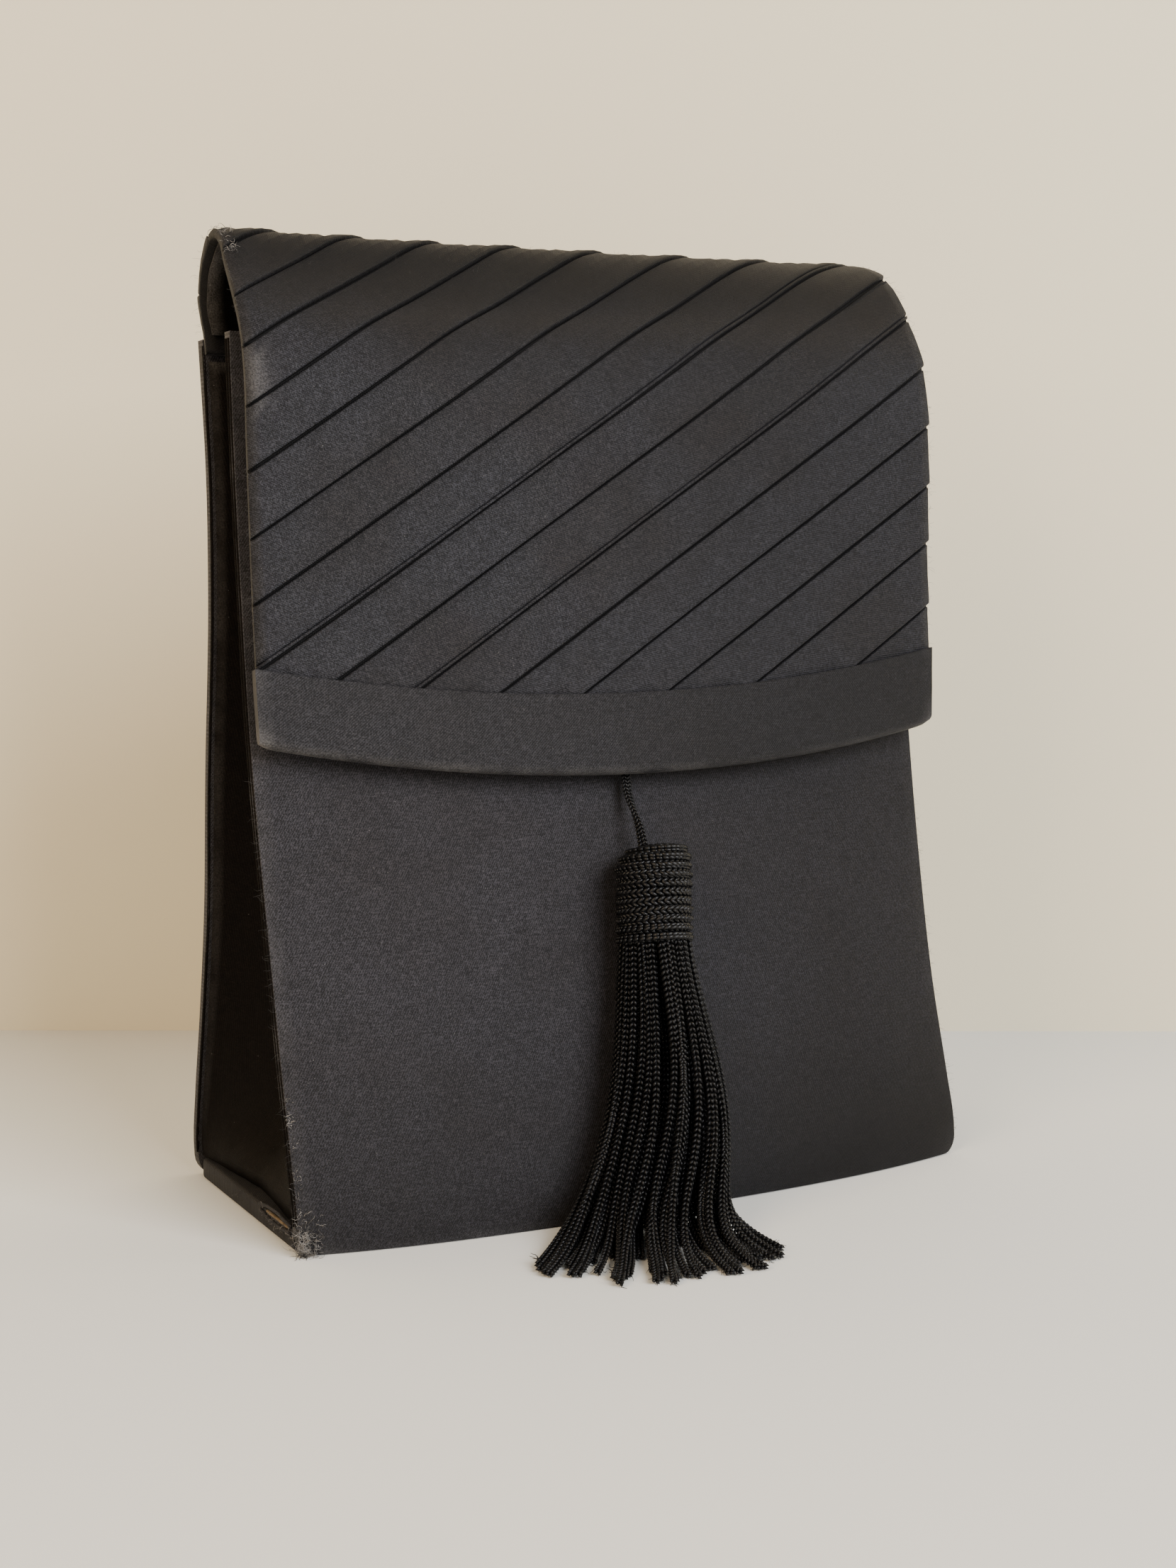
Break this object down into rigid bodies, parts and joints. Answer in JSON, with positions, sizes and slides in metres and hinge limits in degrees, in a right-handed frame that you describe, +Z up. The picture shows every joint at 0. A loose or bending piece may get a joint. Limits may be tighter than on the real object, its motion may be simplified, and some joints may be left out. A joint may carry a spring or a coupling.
{
  "type": "evening handbag",
  "caption": "Small black twill evening bag with a diagonally pleated flap, a bound flap edge and a long tassel hanging on a cord.",
  "frame": {"origin": "on the surface the bag stands on, under the middle of its base board", "axes": "+Z up, -Y out of the front with the flap and tassel, +X to the right seen from the front"},
  "size_m": [0.1764, 0.1246, 0.2257],
  "materials": {
    "body_cloth": "matte charcoal-black twill over stiff board",
    "side_cloth": "matte brown-black cloth",
    "pleated_cloth": "matte charcoal twill in pressed pleats",
    "lining_cloth": "worn dark grey lining cloth",
    "binding_cloth": "charcoal twill, worn pale along its lower edge",
    "cord_silk": "black silk cord, slight sheen",
    "tassel_silk": "black braided silk strands, slight sheen"
  },
  "bodies": {
    "root": {"base_board": "body_cloth", "front_panel": "body_cloth", "back_panel": "body_cloth", "gusset_left": "side_cloth", "gusset_right": "side_cloth", "flap": "pleated_cloth", "flap_lining": "lining_cloth", "flap_binding": "binding_cloth", "tassel_cord": "cord_silk", "tassel": "tassel_silk"}
  },
  "joints": []
}
